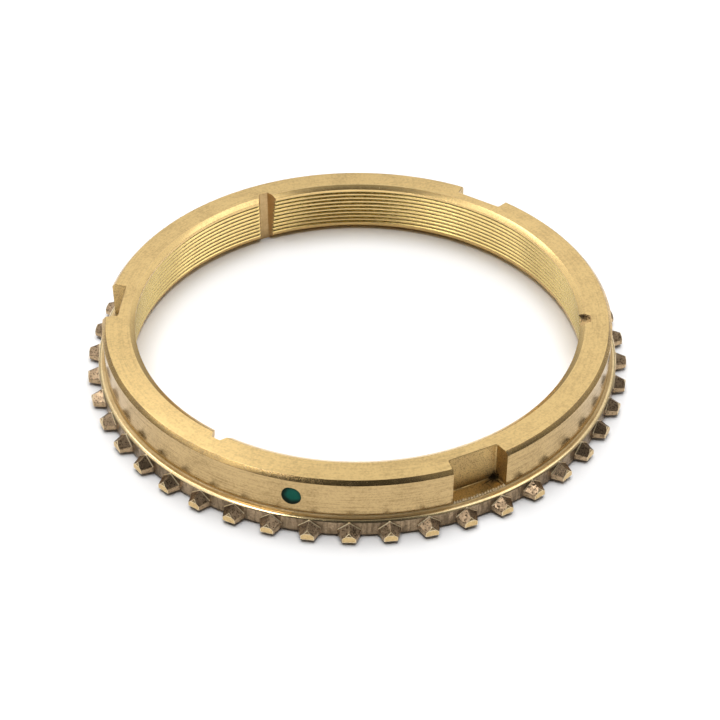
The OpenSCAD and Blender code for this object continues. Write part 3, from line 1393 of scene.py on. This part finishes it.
@dataclass
class SynchronizerRing:
    """The whole ring: the blank with its teeth, slots, grooves and thread."""

    sizes: RingSizes
    smooth_angle: float = 38.0
    tooth_angle: float = 12.0
    merge: float = 0.00005
    # Middle of the painted shade in the oil groove on the right, in millimetres
    groove_shade: tuple[float, float, float] = (35.8, 0.95, 8.9)
    patch_slot: float = 300.0
    patch_inset: float = 0.35
    patch_lift: float = 0.1

    def slot_patch(self) -> tuple[float, float, float]:
        """Middle of the darker patch in a back corner of the front slot.

        Returns:
            The point, in millimetres.
        """
        slots = StrutSlots(self.sizes)
        back = polar(slots.back_r + self.patch_inset, self.patch_slot, slots.floor_z + self.patch_lift)
        return tuple(back + polar(slots.back_w / 2 - self.patch_inset, self.patch_slot + 90.0))

    def finishes(self) -> Finishes:
        """Materials of the ring's surfaces, in the order of Zone.

        Returns:
            The material of each zone.
        """
        # Corners between the teeth, in the thread's roots, the slots and the grooves are darkened: painted
        # shade with some grime
        table: dict[Zone, BrassFinish] = {
            Zone.TOP: BrassFinish(
                "faced_brass", CLEAN_BRASS, DULL_BRASS, 0.2, 0.33, Lay.AROUND_FACE,
                mark_pitch=0.12, mark_depth=0.003, mark_tint=0.25, wear=0.4, anisotropy=0.7, mottle=0.4,
            ),
            Zone.EDGE: BrassFinish(
                "chamfer_brass", (0.74, 0.5, 0.2), BROWN_BRASS, 0.35, 0.2, Lay.AROUND_WALL,
                mark_pitch=0.1, mark_depth=0.002, mark_tint=0.25, pit_depth=0.001, pit_share=0.08, wear=0.2,
            ),
            Zone.WALL: BrassFinish(
                "turned_brass", (0.58, 0.41, 0.195), (0.42, 0.29, 0.13), 0.3, 0.12, Lay.AROUND_WALL,
                mark_pitch=0.1, mark_depth=0.0006, mark_tint=0.6, wear=0.2, anisotropy=0.97, mottle=0.45,
            ),
            Zone.RIM: BrassFinish(
                "rim_brass", (0.86, 0.67, 0.37), DULL_BRASS, 0.2, 0.16, Lay.AROUND_WALL,
                mark_pitch=0.1, mark_depth=0.001, mark_tint=0.15, wear=0.2,
            ),
            Zone.LEDGE: BrassFinish(
                "ledge_brass", (0.68, 0.51, 0.27), DULL_BRASS, 0.3, 0.5, Lay.AROUND_FACE,
                mark_pitch=0.1, mark_depth=0.003, mark_tint=0.3, wear=0.3,
            ),
            Zone.FLANGE: BrassFinish(
                "flange_brass", (0.44, 0.32, 0.20), (0.19, 0.135, 0.08), 0.5, 0.26, Lay.ALONG_AXIS,
                mark_pitch=0.2, mark_depth=0.012, mark_tint=0.7, pit_depth=0.006, pit_share=0.25,
                wear=0.4, corner_grime_and_shade=0.9, corner_reach=1.2,
            ),
            Zone.UNDERSIDE: BrassFinish(
                "underside_brass", CLEAN_BRASS, DULL_BRASS, 0.35, 0.36, Lay.AROUND_FACE,
                mark_pitch=0.14, mark_depth=0.006, mark_tint=0.25, wear=0.4, anisotropy=0.3,
            ),
            Zone.BORE: BrassFinish(
                "bored_brass", CLEAN_BRASS, DULL_BRASS, 0.15, 0.2, Lay.AROUND_WALL,
                mark_pitch=0.1, mark_depth=0.002, mark_tint=0.15, wear=0.4,
            ),
            Zone.THREAD: BrassFinish(
                "threaded_brass", (0.84, 0.65, 0.26), DULL_BRASS, 0.1, 0.2, Lay.AROUND_WALL,
                mark_pitch=0.12, mark_depth=0.0008, mark_tint=0.12, wear=0.1, corner_grime_and_shade=0.95,
                corner_reach=0.32,
            ),
            Zone.SLOT: BrassFinish(
                "milled_brass", (0.66, 0.46, 0.19), DULL_BRASS, 0.45, 0.34, Lay.ALONG_AXIS,
                mark_pitch=0.2, mark_depth=0.004, mark_tint=0.3, pit_depth=0.01, pit_share=0.5,
                wear=0.5, corner_grime_and_shade=0.6, corner_reach=0.9, patch_at=self.slot_patch(), patch_size=1.5,
            ),
            # The groove's darkened corners and its dark patch are painted shade
            Zone.GROOVE: BrassFinish(
                "broached_brass", (0.66, 0.47, 0.24), DULL_BRASS, 0.4, 0.42, Lay.ALONG_AXIS,
                mark_pitch=0.15, mark_depth=0.005, mark_tint=0.2, wear=0.3, corner_grime_and_shade=0.5,
                corner_reach=0.8, patch_at=self.groove_shade, patch_size=1.4,
            ),
            Zone.TOOTH: BrassFinish(
                "forged_brass", (0.45, 0.32, 0.20), (0.12, 0.082, 0.048), 0.55, 0.28,
                pit_size=0.26, pit_depth=0.008, pit_share=0.8, wear=0.2, corner_grime_and_shade=0.3,
            ),
            Zone.FLANK: BrassFinish(
                "flank_brass", (0.55, 0.40, 0.24), (0.30, 0.21, 0.125), 0.4, 0.34,
                pit_size=0.3, pit_depth=0.01, pit_share=0.5, wear=0.3, corner_grime_and_shade=0.5,
            ),
            # The ridge's edge is a darker copy of the forged brass: painted shade
            Zone.RIDGE: BrassFinish(
                "ridge_brass", (0.28, 0.21, 0.125), (0.13, 0.088, 0.052), 0.3, 0.2,
                mark_pitch=0.1, mark_depth=0.001, mark_tint=0.3, pit_depth=0.003, pit_share=0.3, wear=0.2,
            ),
            Zone.TIP: BrassFinish(
                "tip_brass", (0.76, 0.55, 0.265), DULL_BRASS, 0.2, 0.3, Lay.AROUND_WALL,
                mark_pitch=0.12, mark_depth=0.004, mark_tint=0.2, pit_depth=0.004, pit_share=0.2, wear=0.6,
            ),
            # Paler than clean brass, on edges, tooth roots and burrs: painted glint, with some wear on the
            # edges
            Zone.WORN: BrassFinish(
                "worn_brass", (0.98, 0.84, 0.58), CLEAN_BRASS, 0.15, 0.46,
                mark_pitch=0.1, mark_depth=0.001, mark_tint=0.2, pit_depth=0.002, pit_share=0.15, wear=0.3,
            ),
            # The crest facet is a darker copy of the tip's brass: painted shade
            Zone.CREST: BrassFinish(
                "crest_brass", (0.46, 0.32, 0.16), BROWN_BRASS, 0.4, 0.26, Lay.AROUND_WALL,
                mark_pitch=0.1, mark_depth=0.004, mark_tint=0.25, pit_depth=0.006, pit_share=0.3, wear=0.7,
            ),
        }
        return {zone: table[zone].dress() for zone in Zone}

    def build(self) -> Object:
        """Join and cut the ring's shapes and dress the result.

        Returns:
            The ring's object, which stands for its solid.
        """
        materials = self.finishes()
        slots = StrutSlots(self.sizes)
        steps = [
            (ToothRow(self.sizes).build(materials), Join.ADD),
            (BoreThread(self.sizes).build(materials), Join.CUT),
            (slots.build(materials), Join.CUT),
            (OilGrooves(self.sizes).build(materials), Join.CUT),
            (slots.burrs(materials), Join.ADD),
        ]
        ring = link_object("ring", self.finish_slots(RingBlank(self.sizes).build(), materials))
        for mesh, way in steps:
            self.combine(ring, self.finish_slots(mesh, materials), way)
        self.shade(ring.data)
        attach(ring, BODY)
        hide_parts(NODE)
        return ring

    def shade(self, mesh: Mesh) -> None:
        """Merge slivers, shade turned surfaces smooth and keep the faces of teeth and burrs flat.

        Args:
            mesh: the ring's mesh, whose edges are marked.
        """
        mesh.shade_smooth()
        mesh.set_sharp_from_angle(angle=math.radians(self.smooth_angle))
        flat = {zone.value for zone in FORGED}
        limit = math.radians(self.tooth_angle)
        shape = bmesh.new()
        shape.from_mesh(mesh)
        bmesh.ops.remove_doubles(shape, verts=shape.verts, dist=self.merge * MM)
        for edge in shape.edges:
            if flat & {face.material_index for face in edge.link_faces}:
                edge.smooth = edge.smooth and edge.calc_face_angle(0.0) < limit
        shape.to_mesh(mesh)
        shape.free()

    @staticmethod
    def finish_slots(mesh: Mesh, materials: Finishes) -> Mesh:
        """Give a mesh every finish, in the order of Zone, with each face keeping its own.

        Args:
            mesh: a mesh with its own finishes, or with none and its zones as places.
            materials: the finishes of the ring.

        Returns:
            The mesh.
        """
        places = np.zeros(len(mesh.polygons), np.int32)
        mesh.polygons.foreach_get("material_index", places)
        order = list(materials.values())
        if len(mesh.materials):
            places = np.array([order.index(m) if m else 0 for m in mesh.materials], np.int32)[places]
        mesh.materials.clear()
        for material in order:
            mesh.materials.append(material)
        mesh.polygons.foreach_set("material_index", places)
        return mesh

    @staticmethod
    def combine(ring: Object, mesh: Mesh, way: Join) -> None:
        """Join a shape to the ring or cut it from the ring.

        Args:
            ring: the ring, whose mesh is replaced.
            mesh: the shape, which is removed afterwards.
            way: whether it is added or cut.
        """
        other = link_object(mesh.name, mesh)
        modifier = ring.modifiers.new(way.value, "BOOLEAN")
        modifier.operation = way.value
        modifier.solver = "MANIFOLD"
        modifier.object = other
        graph = bpy.context.evaluated_depsgraph_get()
        made = bpy.data.meshes.new_from_object(ring.evaluated_get(graph), depsgraph=graph)
        ring.modifiers.remove(modifier)
        old = ring.data
        ring.data = made
        bpy.data.meshes.remove(old)
        drop_object(other)
        LOG.info("%s: %d faces", way.name.lower(), len(made.polygons))


@dataclass
class PaintMark:
    """Round marking dab on the outer wall. Lengths are in millimetres."""

    sizes: RingSizes
    azimuth: float = 260.2
    height: float = 6.0
    width: float = 3.1
    tall: float = 3.4
    film: float = 0.02
    rim: float = 0.035
    rim_at: float = 0.86
    rim_w: float = 0.09
    sunk: float = 0.03
    rings: int = 10
    spokes: int = 48
    waves: int = 4
    fewest_waves: int = 2
    wobble: float = 0.008
    seed: int = 3
    # Paint colours in painted shade and in a painted highlight
    shaded_tone: Colour = (0.0006, 0.014, 0.006)
    lit_tone: Colour = (0.004, 0.14, 0.095)
    roughness: float = 0.45
    # Where the painted highlight centres, from the dab's middle
    lit_across: float = 0.31
    lit_up: float = 0.272

    def build(self) -> Object:
        """Lay the dab on the wall as a closed film, a few hundredths of a millimetre deep, with a raised
        rim.

        Returns:
            The dab's object.
        """
        draw = np.random.default_rng(self.seed)
        phases = draw.uniform(0.0, math.tau, self.waves)
        shape = bmesh.new()
        shares = np.linspace(0.0, 1.0, self.rings + 1)[1:]
        rings = [self.ring_points(share, phases) for share in shares]
        rows = [[shape.verts.new(point * MM) for point in ring] for ring in rings]
        crown = shape.verts.new(self.point(0.0, 0.0, self.film) * MM)
        back = shape.verts.new(self.point(0.0, 0.0, -self.sunk) * MM)
        for i in range(self.spokes):
            j = (i + 1) % self.spokes
            shape.faces.new((crown, rows[0][i], rows[0][j]))
            for low, high in zip(rows, rows[1:]):
                shape.faces.new((low[i], high[i], high[j], low[j]))
            shape.faces.new((back, rows[-1][j], rows[-1][i]))
        mesh = close_mesh(shape, "paint_mark")
        # The painted highlight centres above and to one side of the dab's middle
        middle = tuple(self.point(self.lit_across, self.lit_up, 0.0))
        reach = self.width / 2
        paint = PaintFinish("marking_paint", self.shaded_tone, self.lit_tone, self.roughness, middle, reach)
        mesh.materials.append(paint.dress())
        mesh.shade_smooth()
        mark = link_object("paint_mark", mesh)
        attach(mark, BODY)
        return mark

    def ring_points(self, share: float, phases: np.ndarray) -> list[Vector]:
        """Points of one ring of the film.

        Args:
            share: the ring's place from the middle, 0, to the edge, 1.
            phases: the phases of the edge's waves.

        Returns:
            The points, in millimetres.
        """
        swell = math.exp(-(((share - self.rim_at) / self.rim_w) ** 2))
        lift = -self.sunk if share >= 1.0 else self.film + (self.rim - self.film) * swell
        points = []
        for spoke in range(self.spokes):
            angle = math.tau * spoke / self.spokes
            counts = enumerate(phases, self.fewest_waves)
            wave = sum(math.sin(count * angle + phase) for count, phase in counts)
            reach = share * (1 + self.wobble * wave)
            across = reach * self.width / 2 * math.cos(angle)
            up = reach * self.tall / 2 * math.sin(angle)
            points.append(self.point(across, up, lift))
        return points

    def point(self, across: float, up: float, lift: float) -> Vector:
        """Point on the wall, from the dab's middle, at a height above the wall's surface."""
        turn = math.degrees(across / self.sizes.wall_r)
        return polar(self.sizes.wall_r + lift, self.azimuth + turn, self.height + up)


@dataclass(frozen=True)
class SoftBox:
    """A soft light: its direction in degrees, its sizes in millimetres and its brightness."""

    name: str
    azimuth: float
    elevation: float
    distance: float
    width: float
    tall: float
    level: float
    lights: Lights

    def hang(self, direction: Vector) -> None:
        """Hang the box in a direction, facing the ring.

        Args:
            direction: unit vector from the ring to the box.
        """
        data = bpy.data.lights.new(self.name, "AREA")
        data.shape = "RECTANGLE"
        data.size = self.width * MM
        data.size_y = self.tall * MM
        data.energy = self.level * math.pi * data.size * data.size_y
        light = link_object(self.name, data)
        light.visible_glossy = self.lights is Lights.METAL
        light.visible_diffuse = self.lights is Lights.FLOOR
        light.location = direction * self.distance * MM
        light.rotation_euler = (-direction).to_track_quat("-Z", "Y").to_euler()


@dataclass
class Studio:
    """Floor, light and camera, as in the photograph. Lengths are in millimetres."""

    focal_px: float = 1747.0
    distance: float = 284.6
    elevation: float = 38.9
    aim_right: float = 0.44
    aim_down: float = 0.67
    sensor: float = 36.0
    nearest: float = 10.0
    floor_r: float = 3000.0
    floor_sides: int = 64
    floor_tone: Colour = (0.93, 0.93, 0.935)
    floor_rough: float = 0.75
    floor_shine: float = 0.2
    behind_rise: Rise = Rise(-0.35, 0.6)
    front_level: float = 0.05
    back_level: float = 1.0
    height_rise: Rise = Rise(0.1, 0.56)
    low_share: float = 0.35

    def build(self) -> None:
        """Set up the floor, the camera, the sky and the lights."""
        self.build_floor()
        self.build_camera()
        self.build_sky()
        self.build_boxes()
        settings = bpy.context.scene.view_settings
        settings.view_transform = "Standard"
        settings.look = "None"

    def build_floor(self) -> None:
        """Lay a plain pale floor under the ring."""
        shape = bmesh.new()
        radius = self.floor_r * MM
        bmesh.ops.create_circle(shape, cap_ends=True, radius=radius, segments=self.floor_sides)
        mesh = bpy.data.meshes.new("floor")
        shape.to_mesh(mesh)
        shape.free()
        material = bpy.data.materials.new("pale_floor")
        ShaderTree(material).end(
            {
                "Base Color": colour4(self.floor_tone),
                "Roughness": self.floor_rough,
                "Specular IOR Level": self.floor_shine,
            }
        )
        mesh.materials.append(material)
        link_object("floor", mesh)

    def build_camera(self) -> None:
        """Place the camera at the photograph's angle."""
        data = bpy.data.cameras.new("camera")
        data.sensor_width = self.sensor
        data.lens = self.sensor * self.focal_px / PHOTO_SIDE_PX
        data.clip_start = self.nearest * MM
        camera = link_object("camera", data)
        spot = self.towards(270.0, self.elevation) * self.distance
        right = self.towards(0.0, 0.0)
        up = right.cross(-spot).normalized()
        target = right * self.aim_right - up * self.aim_down
        camera.location = spot * MM
        camera.rotation_euler = (target - spot).to_track_quat("-Z", "Y").to_euler()
        bpy.context.scene.camera = camera

    @staticmethod
    def towards(azimuth: float, elevation: float) -> Vector:
        """Direction in the photograph's own frame.

        Args:
            azimuth: angle about the axis in degrees, 270 being towards the camera.
            elevation: angle above the floor in degrees.

        Returns:
            The unit vector in the part's frame.
        """
        level = polar(math.cos(math.radians(elevation)), azimuth + VIEW_TURN)
        level.z = math.sin(math.radians(elevation))
        return level

    def build_sky(self) -> None:
        """Surround the ring with a soft tent: light behind it, darker low down and near the camera."""
        world = bpy.data.worlds.new("tent")
        bpy.context.scene.world = world
        tree = ShaderTree(world)
        way = tree.add("ShaderNodeTexCoord", {}).outputs["Generated"]
        behind = tree.measure("DOT_PRODUCT", way, tuple(self.towards(90.0, 0.0)))
        height = tree.measure("DOT_PRODUCT", way, (0.0, 0.0, 1.0))
        light = tree.band(behind, self.behind_rise)
        high = tree.band(height, self.height_rise)
        level = tree.calc("MULTIPLY_ADD", light, self.back_level - self.front_level, self.front_level)
        share = tree.calc("MULTIPLY_ADD", high, 1.0 - self.low_share, self.low_share)
        strength = tree.calc("MULTIPLY", level, share)
        sky = tree.output("ShaderNodeBackground", {"Color": (1.0, 1.0, 1.0, 1.0), "Strength": strength})
        tree.add("ShaderNodeOutputWorld", {"Surface": sky})

    def build_boxes(self) -> None:
        """Hang soft boxes at the sides, a lamp, a box behind and a fill for the floor alone."""
        boxes = (
            SoftBox("left_box", 195.0, 50.0, 800.0, 650.0, 660.0, 1.02, Lights.METAL),
            SoftBox("right_box", 0.0, 58.0, 800.0, 560.0, 440.0, 1.2, Lights.METAL),
            SoftBox("right_fill", -30.0, 46.0, 900.0, 760.0, 400.0, 0.2, Lights.METAL),
            SoftBox("lamp", 218.0, 54.0, 800.0, 250.0, 140.0, 8.5, Lights.METAL),
            SoftBox("rear_box", 131.0, 55.0, 800.0, 220.0, 240.0, 3.4, Lights.METAL),
            SoftBox("floor_fill", 90.0, 84.0, 1500.0, 1200.0, 1200.0, 5.0, Lights.FLOOR),
        )
        for box in boxes:
            box.hang(self.towards(box.azimuth, box.elevation))


def main() -> None:
    """Build the ring, its paint mark and the studio, and report each piece."""
    logging.basicConfig(level=logging.INFO, format="%(name)s: %(message)s")
    sizes = RingSizes()
    ring = SynchronizerRing(sizes).build()
    LOG.info("ring: %d faces", len(ring.data.polygons))
    mark = PaintMark(sizes).build()
    LOG.info("paint mark: %d faces", len(mark.data.polygons))
    Studio().build()


if __name__ == "__main__":
    main()
